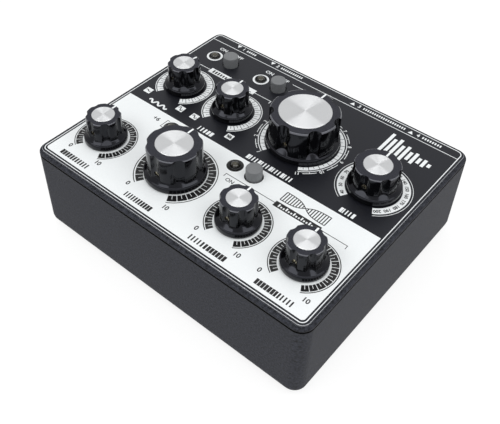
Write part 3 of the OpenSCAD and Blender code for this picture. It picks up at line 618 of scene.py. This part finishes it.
def makeLamps(lensR, lensUp, bodyDown, leadR, leadGap, play, barrelR, flangeR, flangeT, flangeSide,
              rounding, mouth):
    lensLow, bezelLow = roundBox("lamp_lenses")[1], roundBox("lamp_bezels")[1]
    bodyLow, dome, inner = bezelLow - bodyDown, lensUp - lensR, lensR + play
    places = [panelPoint(*place) for place in lampPlaces]
    profile = [(0, bodyLow), (lensR, bodyLow), (lensR, dome)]
    profile += arcPoints(0, dome, lensR, 8, 84, 10) + [(0, lensUp)]
    lens = [meshOf("lens", *lathe(profile, 48))]
    for side in (-1, 1):
        lead = lathe([(0, lensLow), (leadR, lensLow), (leadR, bodyLow), (0, bodyLow)], 12)
        lens.append(meshOf("lead", *lead, Matrix.Translation((side * leadGap * mm, 0, 0))))
    rim = [(inner, bezelLow), (barrelR, bezelLow), (barrelR, 0), (flangeR, 0), (flangeR, flangeSide)]
    rim += arcPoints(flangeR - rounding, flangeT - rounding, rounding, 0, 90, 4)
    rim += [(inner + mouth[0], flangeT), (inner, flangeT - mouth[1])]
    domes = copiesAt(joined("lens", lens), places, smokedLens)
    rims = copiesAt(meshOf("rim", *lathe(rim, 64)), places, blackPlastic)
    addPiece("lamp_domes", domes, smokedLens, "box", ["lamp_lenses"])
    addPiece("lamp_rims", rims, blackPlastic, "box", ["lamp_bezels"])


makeLamps(**lampStyle)
print("buttons and lamps made")

# Lowest and highest level of each layer of ink above the plate, in mm
whiteLayer = (0.0, 0.03)
blackLayer = (0.03, 0.055)
topLayer = (0.055, 0.075)
discSides = 64
# Height of a capital as a share of the type size
capShare = 0.7


def rectangle(x0, y0, x1, y1, radius=0.0):
    if radius == 0:
        return [(x0, y0), (x1, y0), (x1, y1), (x0, y1)]
    points = []
    for x, y, first in ((x1 - radius, y0 + radius, -90), (x1 - radius, y1 - radius, 0),
                        (x0 + radius, y1 - radius, 90), (x0 + radius, y0 + radius, 180)):
        points += arcPoints(x, y, radius, first, first + 90, 8)
    return points


def disc(x, y, radius):
    return arcPoints(x, y, radius, 0, 360 - 360 / discSides, discSides - 1)


def arcBand(x, y, inner, outer, first, last):
    # Part of a ring between two angles, clockwise from the back
    steps = max(2, int(abs(last - first) / 3))
    outside = arcPoints(x, y, outer, 90 - first, 90 - last, steps)
    return outside + arcPoints(x, y, inner, 90 - last, 90 - first, steps)


def clockPoint(x, y, radius, angle):
    # Point of a circle at an angle clockwise from the back
    turn = radians(angle)
    return x + radius * sin(turn), y + radius * cos(turn)


def stroke(points, width):
    # Outline of a line of that width through the points
    left, right = [], []
    for i, (x, y) in enumerate(points):
        before, after = points[max(i - 1, 0)], points[min(i + 1, len(points) - 1)]
        along = Vector((after[0] - before[0], after[1] - before[1])).normalized()
        left.append((x - along.y * width / 2, y + along.x * width / 2))
        right.append((x + along.y * width / 2, y - along.x * width / 2))
    return left + right[::-1]


def flatMesh(curve):
    holder = addObject("flat", curve)
    mesh = evaluated(holder)
    bpy.data.objects.remove(holder)
    bpy.data.curves.remove(curve)
    return tidyMesh(mesh)


def inkShape(outlines, layer):
    # Ink of a layer's thickness within closed outlines, where an inner outline leaves a hole
    curve = bpy.data.curves.new("ink", "CURVE")
    curve.dimensions = "2D"
    curve.fill_mode = "BOTH"
    curve.extrude = (layer[1] - layer[0]) / 2 * mm
    for outline in outlines:
        spline = curve.splines.new("POLY")
        spline.points.add(len(outline) - 1)
        for point, (x, y) in zip(spline.points, outline):
            point.co = (*panelPoint(x, y).xy, 0, 1)
        spline.use_cyclic_u = True
    mesh = flatMesh(curve)
    mesh.transform(Matrix.Translation((0, 0, panelZ + sum(layer) / 2 * mm)))
    return mesh


def inkEach(outlines, layer):
    return [inkShape([outline], layer) for outline in outlines]


def inkText(text, x, y, height, weight, layer, turn=0.0):
    # Plain figures, centred on a point, thickened by a weight in mm and turned clockwise by degrees
    curve = bpy.data.curves.new("text", "FONT")
    curve.body = text
    curve.size = height / capShare * mm
    curve.align_x = "CENTER"
    curve.align_y = "CENTER"
    curve.extrude = (layer[1] - layer[0]) / 2 * mm
    curve.offset = weight * mm
    curve.resolution_u = 4
    mesh = flatMesh(curve)
    place = Matrix.Translation(panelPoint(x, y) + Vector((0, 0, sum(layer) / 2 * mm)))
    mesh.transform(place @ Matrix.Rotation(-radians(turn), 4, "Z"))
    return mesh


def inkParts(layer, shapes, words, outlines):
    # Ink for shapes of several outlines, for words and for single outlines
    parts = [inkShape(shape, layer) for shape in shapes] + [inkText(*word, layer) for word in words]
    return parts + inkEach(outlines, layer)


def addInk(name, meshes, material):
    addPiece(name, joined(name, meshes), material, "box")


def panelPlace(control):
    x, y = joints[control + "_turn"]["pos_m"][:2]
    return x / mm + panelOrigin[0], y / mm + panelOrigin[1]


def makeDialTree():
    # Ring of printed blocks, each with a narrow notch from its inner side
    add, given = startTree("dialBlocks", {"Count": "Int", "Ink": "Material"}, [
        "Start", "Step", "Gap", "Notch", "Inner Radius", "Notch Radius", "Outer Radius", "Thickness"])

    def band(first, last, inner, outer):
        grid = add("GeometryNodeMeshGrid", {"Size X": 1.0, "Size Y": 1.0, "Vertices X": 6, "Vertices Y": 2})
        parts = add("SeparateXYZ", {"Vector": add("GeometryNodeInputPosition")}).outputs
        angle, radius = [add("MapRange", {
            "Value": value, "From Min": -0.5, "From Max": 0.5, "To Min": low, "To Max": high})
            for value, low, high in ((parts["X"], last, first), (parts["Y"], inner, outer))]
        spoke = add("CombineXYZ", {"Y": radius})
        point = add("VectorRotate", {"Vector": spoke, "Angle": angle}, rotation_type="Z_AXIS")
        return add("GeometryNodeSetPosition", {"Geometry": grid, "Position": point})

    half = add("Math MULTIPLY", {0: given["Step"], 1: 0.5})
    side = add("Math MULTIPLY", {0: given["Gap"], 1: 0.5})
    end = add("Math SUBTRACT", {0: given["Step"], 1: side})
    notchStart = add("Math MULTIPLY_ADD", {0: given["Notch"], 1: -0.5, 2: half})
    notchEnd = add("Math MULTIPLY_ADD", {0: given["Notch"], 1: 0.5, 2: half})
    innerR, notchR, outerR = [given[name + " Radius"] for name in ("Inner", "Notch", "Outer")]
    flat = add("GeometryNodeJoinGeometry")
    for first, last, inner, outer in (
            (side, notchStart, notchR, outerR), (notchStart, notchEnd, notchR, outerR),
            (notchEnd, end, notchR, outerR), (side, notchStart, innerR, notchR),
            (notchEnd, end, innerR, notchR)):
        setInputs(flat, {"Geometry": band(first, last, inner, outer)})
    sheet = add("GeometryNodeMergeByDistance", {"Geometry": flat, "Distance": weldGap})
    raised = add("GeometryNodeExtrudeMesh", {
        "Mesh": sheet, "Offset Scale": given["Thickness"], "Individual": False})
    under = add("GeometryNodeFlipFaces", {"Mesh": sheet})
    block = add("GeometryNodeJoinGeometry")
    for mesh in (raised, under):
        setInputs(block, {"Geometry": mesh})
    line = add("GeometryNodeMeshLine", {"Count": given["Count"], "Offset": (0, 0, 0)})
    index = add("GeometryNodeInputIndex")
    turned = add("Math MULTIPLY_ADD", {0: index, 1: given["Step"], 2: given["Start"]})
    rotation = add("FunctionNodeEulerToRotation", {"Euler": add("CombineXYZ", {"Z": turned})})
    copies = add("GeometryNodeInstanceOnPoints", {"Points": line, "Instance": block, "Rotation": rotation})
    return endTree(add, copies, given["Ink"])


dialStyle = {"count": 20, "sweep": 300, "gap": 0.38, "notch": 0.28, "notchPart": 0.62, "line": 0.5}
# Blocks from one radius to another and the radius of the thin line round them, in mm
dials = {
    "feedback": (13.2, 16.9, 17.6), "high_pass": (13.2, 16.9, 17.6), "low_pass": (13.2, 16.9, 17.6),
    "volume": (17.6, 21.8, 22.8), "depth": (13.4, 17.0, 17.8), "rate": (13.4, 17.0, 17.8),
    "multiply": (21.6, 24.0, 25.0)}
dialTree = makeDialTree()


def makeDial(control):
    style = dialStyle
    inner, outer, line = dials[control]
    ink, layer = (blackInk, blackLayer) if control in frontControls else (whiteInk, whiteLayer)
    half, lineHalf = style["sweep"] / 2, style["line"] / 2
    blocks = runTree(dialTree, {
        "Count": style["count"], "Start": radians(-half), "Step": radians(2 * half / style["count"]),
        "Gap": style["gap"] / outer, "Notch": style["notch"] / inner, "Inner Radius": inner * mm,
        "Notch Radius": (inner + (outer - inner) * style["notchPart"]) * mm, "Outer Radius": outer * mm,
        "Thickness": (layer[1] - layer[0]) * mm, "Ink": ink})
    x, y = panelPlace(control)
    tidyMesh(blocks).transform(Matrix.Translation(panelPoint(x, y) + Vector((0, 0, layer[0] * mm))))
    rim = inkShape([arcBand(x, y, line - lineHalf, line + lineHalf, -half, half)], layer)
    addInk(control + "_dial", [blocks, rim], ink)


for control in dials:
    makeDial(control)
print("dials printed")

# White field, border and rule, and the radii of lamp rings and of holes in the field, in mm
fieldStyle = {
    "box": (1.2, 1.3, 178.8, 66.0), "corner": 2.0, "border": 0.5, "borderCorners": (3.2, 2.7),
    "size": (180, 149.5), "rule": (143.2, 143.6), "whiteRing": (5.1, 3.8), "blackRing": (4.8, 3.65),
    "knobHole": 4.7, "lampHole": 3.6, "buttonHole": ((103.5, 58.75), 5.35)}


def makeFields():
    style = fieldStyle
    x0, y0, x1, y1 = style["box"]
    corner = style["corner"]
    field = arcPoints(x0 + corner, y0 + corner, corner, 180, 270, 8)
    field += arcPoints(x1 - corner, y0 + corner, corner, 270, 360, 8) + [(x1, y1), (x0, y1)]
    holes = [(panelPlace(control), style["knobHole"]) for control in frontControls]
    holes += [(place, style["lampHole"]) for place in lampPlaces[2:]] + [style["buttonHole"]]
    outlines = [field] + [disc(*place, radius) for place, radius in holes]
    addInk("white_field", [inkShape(outlines, whiteLayer)], whiteInk)
    half = style["border"] / 2
    (width, depth), (outer, inner), (low, high) = style["size"], style["borderCorners"], style["rule"]
    border = [rectangle(-half, -half, width + half, depth + half, outer),
              rectangle(half, half, width - half, depth - half, inner)]
    rule = rectangle(half, low, width - half, high)
    addInk("border_line", [inkShape(border, whiteLayer), inkShape([rule], whiteLayer)], whiteInk)
    for tone, places, layer, ink in (("white", lampPlaces[:2], whiteLayer, whiteInk),
                                     ("black", lampPlaces[2:], blackLayer, blackInk)):
        radii = style[tone + "Ring"]
        rings = [inkShape([disc(*place, radius) for radius in radii], layer) for place in places]
        addInk("lamp_rings_" + tone, rings, ink)


def bars(x0, x1, y0, heights, share=0.55):
    # Row of upright bars of the given heights across a width
    pitch = (x1 - x0) / (len(heights) - 1 + share)
    return [rectangle(x0 + pitch * i, y0, x0 + pitch * (i + share), y0 + h) for i, h in enumerate(heights)]


def bracket(x0, x1, y, drop, line=0.4):
    # Outline of a thin line from x0 to x1, with its end at x0 turned to the front
    inner = x0 + copysign(line, x1 - x0)
    return [(x0, y + line), (x1, y + line), (x1, y), (inner, y), (inner, y - drop), (x0, y - drop)]


# In mm: rows of strokes stand for words, figures have a level, height and weight, the filter mark its ends,
# middle and half height, an arrow its half width, tail and tip
wordStyle = {
    "tall": 3.5, "front": 3.5, "back": 67.7, "wave": 1.15, "dialFigure": (11.3, 2.8, 0.1),
    "socketFigure": (146.6, 2.6, 0.06), "switchWord": (137.6, 2.6, 0.05), "filter": (124.5, 152.5, 57.9, 3.4),
    "filterLine": 0.5, "barHalf": 0.3, "arrow": (1.6, 1.2, 1.4), "bars": (145.7, 1.8), "boxRoom": 0.7,
    "boxLine": 0.6}


def strokes(x0, x1, y0, shares):
    # Row of upright strokes of one height, each filling a share of its place in the row
    pitch, y1 = (x1 - x0) / len(shares), y0 + wordStyle["tall"]
    return [rectangle(x0 + pitch * i, y0, x0 + pitch * (i + share), y1) for i, share in enumerate(shares)]


def makeFrontPrint():
    style = wordStyle
    fade = [0.88 - 0.045 * i for i in range(11)]
    steep = [0.42] * 4 + [0.55, 0.7] + [0.84] * 6
    rows = ((10, 31.8, fade), (60.5, 79.3, fade[::-1]), (106, 129.7, steep), (148, 170.8, steep[::-1]))
    shapes = [strokes(x0, x1, style["front"], shares) for x0, x1, shares in rows]
    words = [("+6", 30, 59.2, 3.0, 0.08), ("ON", 95.8, 47.6, 2.4, 0.06)]
    for zero, ten in ((10.2, 32.5), (56, 83.5), (105, 131.5), (145.5, 173)):
        words += [("0", zero, *style["dialFigure"]), ("10", ten, *style["dialFigure"])]
    left, right, middle, half = style["filter"]
    curve = [(left + (right - left) * i / 36, half * tanh((i - 18) / 6)) for i in range(37)]
    wide = style["barHalf"]
    shapes.append([rectangle(x - wide, middle - abs(h), x + wide, middle + abs(h)) for x, h in curve[::2] if h])
    outlines = [stroke([(x, middle + side * h) for x, h in curve], style["filterLine"]) for side in (-1, 1)]
    outlines += [rectangle(123.8, 48.8, 152.7, 52.7), bracket(90.5, 123.8, 50.8, 2.2),
                 bracket(169.3, 152.7, 50.8, 2.2)]
    outlines.append([(37.8, 62.5), (36.0, 62.5), (36.0, 55.7), (37.8, 55.7), (37.8, 56.1), (36.4, 56.1),
                     (36.4, 62.1), (37.8, 62.1)])
    addInk("front_print", inkParts(blackLayer, shapes, words, outlines), blackInk)
    labelBars = bars(126.5, 150, 49.7, [2.1, 1.1, 1.1] * 5)
    addInk("front_print_light", [inkShape(labelBars, topLayer)], whiteInk)


def wave(x0, x1, y, swings, height):
    steps = swings * 8
    return [(x0 + (x1 - x0) * i / steps, y + height * sin(pi * i / 4)) for i in range(steps + 1)]


def makeBackPrint():
    style, low = wordStyle, wordStyle["back"]
    beat = [0.85, 0.4, 0.4, 0.4]
    rows = ((53.8, 64.7, [0.3, 0.45, 0.6, 0.75, 0.9]), (90, 121.5, beat * 4), (152, 161.2, beat + beat[:1]))
    shapes = [strokes(x0, x1, low, shares) for x0, x1, shares in rows]
    level, tall = style["bars"]
    for x0, x1, count in ((26.2, 33.4, 5), (54.2, 70.6, 11), (116, 144.6, 19), (156, 168, 8)):
        shapes.append(bars(x0, x1, level, [tall] * count))
    words = [(str(i + 1), x, *style["socketFigure"]) for i, x in enumerate((23.5, 51.5, 113.2, 153.2))]
    for text, x in (("ON", 13.9), ("OFF", 26.5), ("ON", 52), ("OFF", 63.5)):
        words.append((text, x, *style["switchWord"]))
    outlines = [stroke(wave(13.8, 28.3, low + style["tall"] / 2, 3, 1.3), style["wave"])]
    half, tail, tip = style["arrow"]
    for x, y, down in ((19, 147.3, 1), (47, 147, 1), (108.7, 146.5, -1), (148.6, 146.3, -1)):
        outlines.append([(x - half, y + tail * down), (x + half, y + tail * down), (x, y - tip * down)])
    outlines += [rectangle(21.5, 113.5, 57.6, 118), bracket(13, 21.5, 115.6, 2.2),
                 bracket(70.5, 57.6, 115.4, 2.2), rectangle(70, 137.4, 78, 137.8)]
    boxes = [(5, 72.8, 9.8, 77.5), (31.8, 72.7, 36.7, 77.3), (43, 72.7, 47.8, 77.2), (70, 72.7, 74.7, 77)]
    shapes.append([rectangle(*box) for box in boxes])
    addInk("back_print", inkParts(whiteLayer, shapes, words, outlines), whiteInk)
    waves, room = [], style["boxRoom"]
    for (x0, y0, x1, y1), swings, height in zip(boxes, (1, 1, 1, 3), (0.5, 1.6, 1.3, 1.3)):
        line = wave(x0 + room, x1 - room, (y0 + y1) / 2, swings, height)
        waves.append(stroke(line, style["boxLine"]))
    labelBars = bars(24, 55.5, 114.3, [2.9 - 0.15 * i for i in range(16)], 0.6)
    addInk("back_print_dark", inkParts(blackLayer, [labelBars], [], waves), blackInk)


multiplyStyle = {
    "radius": 26.5, "line": 0.4, "figure": (2.1, 0.05), "count": 11, "start": -150, "pitch": 30, "room": 6.5,
    "tick": 0.8, "tickHalf": 0.4}


def makeMultiplyPrint(radius, line, figure, count, start, pitch, room, tick, tickHalf):
    x, y = panelPlace("multiply")
    inner, outer = radius - line / 2, radius + line / 2
    parts = []
    for i in range(count):
        angle = start + pitch * i
        parts.append(inkText(str(i + 1), *clockPoint(x, y, radius, angle), *figure, whiteLayer, angle))
        if i < count - 1:
            middle = angle + pitch / 2
            arcs = [arcBand(x, y, inner, outer, angle + room, angle + pitch - room),
                    arcBand(x, y, inner - tick, inner, middle - tickHalf, middle + tickHalf)]
            parts += inkEach(arcs, whiteLayer)
    addInk("multiply_print", parts, whiteInk)


tempoStyle = {
    "half": 150, "band": (15.4, 19.6), "rim": (20.65, 20.95), "radius": 17.5, "start": -142, "pitch": 17.75,
    "values": range(40, 201, 10), "figure": (1.9, 0.08)}


def makeTempoPrint(half, band, rim, radius, start, pitch, values, figure):
    x, y = panelPlace("tempo")
    arcs = [arcBand(x, y, *radii, -half, half) for radii in (band, rim)]
    addInk("tempo_band", inkEach(arcs, whiteLayer), whiteInk)
    figures = []
    for i, value in enumerate(values):
        angle = start + pitch * i
        figures.append(inkText(str(value), *clockPoint(x, y, radius, angle), *figure, blackLayer, angle))
    addInk("tempo_figures", figures, blackInk)


emblemStyle = {
    "ends": (141.5, 171.5), "middle": 128, "heights": [22, 15, 19, 11, 14, 7.5, 10, 5, 6.5, 3], "share": 0.62}


def makeEmblem(ends, middle, heights, share):
    # Generic echo mark: bars that ring on and fade to the right
    rows = [bars(*ends, middle - h / 2, [h] * len(heights), share)[i] for i, h in enumerate(heights)]
    addInk("echo_mark", [inkShape(rows, whiteLayer)], whiteInk)


makeFields()
makeFrontPrint()
makeBackPrint()
makeMultiplyPrint(**multiplyStyle)
makeTempoPrint(**tempoStyle)
makeEmblem(**emblemStyle)
print("panel printed")

nutStyle = {
    "acrossFlats": 13, "low": 0.6, "high": 3.1, "boreR": 4.85, "faceIn": 0.2, "chamfer": 0.45,
    "drops": (0.12, 0.25, 0.4, 0.6), "countersink": 0.25, "anglesPerSide": 12}


def makeNuts(acrossFlats, low, high, boreR, faceIn, chamfer, drops, countersink, anglesPerSide):
    count = 6 * anglesPerSide
    half, slant = acrossFlats / 2, pi / 6
    hexagon = [half / cos((2 * pi * i / count + slant) % (2 * slant) - slant) for i in range(count)]
    corner, face = half / cos(slant), half - faceIn
    rows = []
    for z, inward in ((low, 1), (high, -1)):
        edge = [([face] * count, z)]
        for drop in drops:
            limit = face + (corner - face) * drop / drops[-1]
            edge.append(([min(r, limit) for r in hexagon], z + inward * drop * chamfer))
        rows.append(edge)
    inside = [([boreR + countersink] * count, z) for z in (low, high)]
    bore = [([boreR] * count, z) for z in (high - countersink, low + countersink)]
    rings = inside[:1] + rows[0] + rows[1][::-1] + inside[1:] + bore + inside[:1]
    scaled = [([r * mm for r in radii], z * mm) for radii, z in rings]
    nut = meshOf("nut", *skin(scaled, count), Matrix.Rotation(-pi / 2, 4, "X"))
    places = [mount["pos_m"] for mount in frame["record"]["mounts"] if mount["kind"] == "bore"]
    addPiece("socket_nuts", copiesAt(nut, places, nickel), nickel, "box", ["jack_nuts"])


makeNuts(**nutStyle)
print("sockets made")

# Each lamp's place and size in metres, and its power in watts
studioStyle = {
    "world": 0.74, "aim": (0, 0, 0.05), "overhead": ((-0.165, 0.213, 1.1), (0.5, 0.4), 0.6),
    "leftBox": ((-0.3, -0.664, 0.9), (0.86, 0.34), 2.7), "rightBox": ((0.718, 0.122, 0.9), (0.86, 0.34), 2.5),
    "nearBox": ((0.27, -0.36, 1.05), (0.7, 0.3), 1.45)}
cameraStyle = {"lens": 53.278, "sensor_width": 36, "shift_x": 0.02, "shift_y": -0.084, "clip_start": 0.01}
cameraPlace, cameraTurn = (0.187165, -0.243869, 0.336144), (46.3255, -0.9744, 40.0118)
floorStyle = {"half": 6.0, "level": -0.0002, "paper": (0.8, 0.82), "shade": 0.25}


def addLight(name):
    place, size, energy = studioStyle[name]
    light = bpy.data.lights.new(name, "AREA")
    light.shape = "RECTANGLE"
    light.size, light.size_y = size
    light.energy = energy
    lamp = addObject(name, light)
    lamp.location = place
    lamp.rotation_euler = (Vector(studioStyle["aim"]) - Vector(place)).to_track_quat("-Z", "Y").to_euler()


def makeFloor(half, level, paper, shade):
    # White paper sweep: seen as white with the object's shadow, and lit like paper everywhere else
    material = bpy.data.materials.new("white paper")
    add = startNodes(material)
    path = add("LightPath")
    fibre = add("TexNoise", {"Vector": add("TexCoord").outputs["Object"], "Scale": 400.0})
    dark, pale, dim = [(grey, grey, grey, 1) for grey in (*paper, shade)]
    tone = add("Mix RGBA", {0: fibre, 6: dark, 7: pale})
    plain = add("BsdfDiffuse", {"Color": tone.outputs[2]})
    under = add("BsdfDiffuse", {"Color": dim})
    glow = add("Emission", {"Color": (1, 1, 1, 1), "Strength": 0.8})
    bright = add("AddShader", {0: under, 1: glow})
    seen = add("Math MAXIMUM", {0: path.outputs["Is Camera Ray"], 1: path.outputs["Is Glossy Ray"]})
    mixed = add("MixShader", {0: seen, 1: plain, 2: bright})
    add("OutputMaterial", {"Surface": mixed})
    mesh = bpy.data.meshes.new("floor")
    corners = [(x, y, level) for x, y in rectangle(-half, -half, half, half)]
    mesh.from_pydata(corners, [], [(0, 1, 2, 3)])
    mesh.materials.append(material)
    addObject("floor", mesh)


def makeStudio():
    scene = bpy.context.scene
    scene.view_settings.view_transform = "Standard"
    scene.world = bpy.data.worlds.new("studio")
    add = startNodes(scene.world)
    path = add("LightPath")
    around = add("Background", {"Color": (1, 1, 1, 1), "Strength": studioStyle["world"]})
    seen = add("Background", {"Color": (1, 1, 1, 1), "Strength": 1.0})
    mixed = add("MixShader", {0: path.outputs["Is Camera Ray"], 1: around, 2: seen})
    add("OutputWorld", {"Surface": mixed})
    makeFloor(**floorStyle)
    for name in ("overhead", "leftBox", "rightBox", "nearBox"):
        addLight(name)
    view = bpy.data.cameras.new("camera")
    for name, value in cameraStyle.items():
        setattr(view, name, value)
    camera = addObject("camera", view)
    camera.location = cameraPlace
    camera.rotation_euler = [radians(angle) for angle in cameraTurn]
    scene.camera = camera


makeStudio()
print("studio ready")
